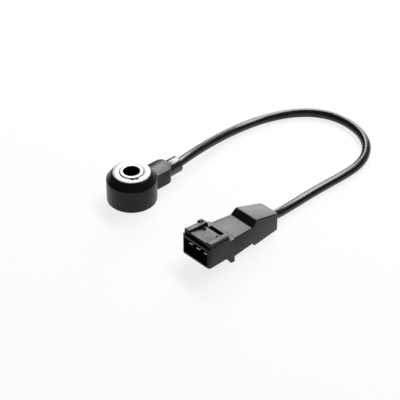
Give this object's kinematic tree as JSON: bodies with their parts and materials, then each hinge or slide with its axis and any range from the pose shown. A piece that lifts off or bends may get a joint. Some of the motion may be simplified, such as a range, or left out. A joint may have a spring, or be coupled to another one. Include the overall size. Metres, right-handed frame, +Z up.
{
  "type": "engine knock sensor",
  "caption": "Ring-shaped engine knock sensor: a steel sleeve with a piezo stack in a moulded black body, and a short cable to a plug connector with guide rails.",
  "frame": {"origin": "centre of the bolt bore on the metal face that is clamped to the engine", "axes": "+Z up the bolt bore, away from the engine; +X out along the cable neck; +Y to the left of the neck seen from above"},
  "size_m": [0.1481, 0.0882, 0.0195],
  "materials": {
    "turned_steel": "zinc plated, turned",
    "nut_steel": "bright plated, faced",
    "mass_steel": "turned",
    "spring_steel": "phosphated",
    "contact_brass": "stamped",
    "crimp_brass": "drawn",
    "tinned_brass": "tin plated",
    "ceramic": "fired ceramic",
    "insulator": "film and moulded tube",
    "body_plastic": "semi-gloss moulded",
    "connector_plastic": "semi-gloss moulded",
    "carrier_plastic": "satin moulded",
    "boot_plastic": "satin moulded",
    "grommet_rubber": "satin",
    "jacket": "smooth extruded",
    "core_white": "extruded",
    "core_red": "extruded",
    "core_grey": "extruded"
  },
  "bodies": {
    "root": {"flanged_sleeve": "turned_steel", "insulating_tube": "insulator", "lower_insulator": "insulator", "lower_contact_ring": "contact_brass", "piezo_ring": "ceramic", "upper_contact_ring": "contact_brass", "upper_insulator": "insulator", "seismic_mass": "mass_steel", "disc_spring": "spring_steel", "ring_nut": "nut_steel", "head_housing": "body_plastic", "cable_grommet": "grommet_rubber", "cable_anchor": "crimp_brass", "signal_core_1": "core_white", "signal_core_2": "core_red", "cable": "jacket", "connector_housing": "connector_plastic", "terminal_carrier": "carrier_plastic", "blade_terminal_1": "tinned_brass", "blade_terminal_2": "tinned_brass", "blade_terminal_3": "tinned_brass", "conductor_1": "core_white", "conductor_2": "core_grey", "conductor_3": "core_red", "cable_crimp": "crimp_brass", "connector_boot": "boot_plastic"}
  },
  "joints": []
}
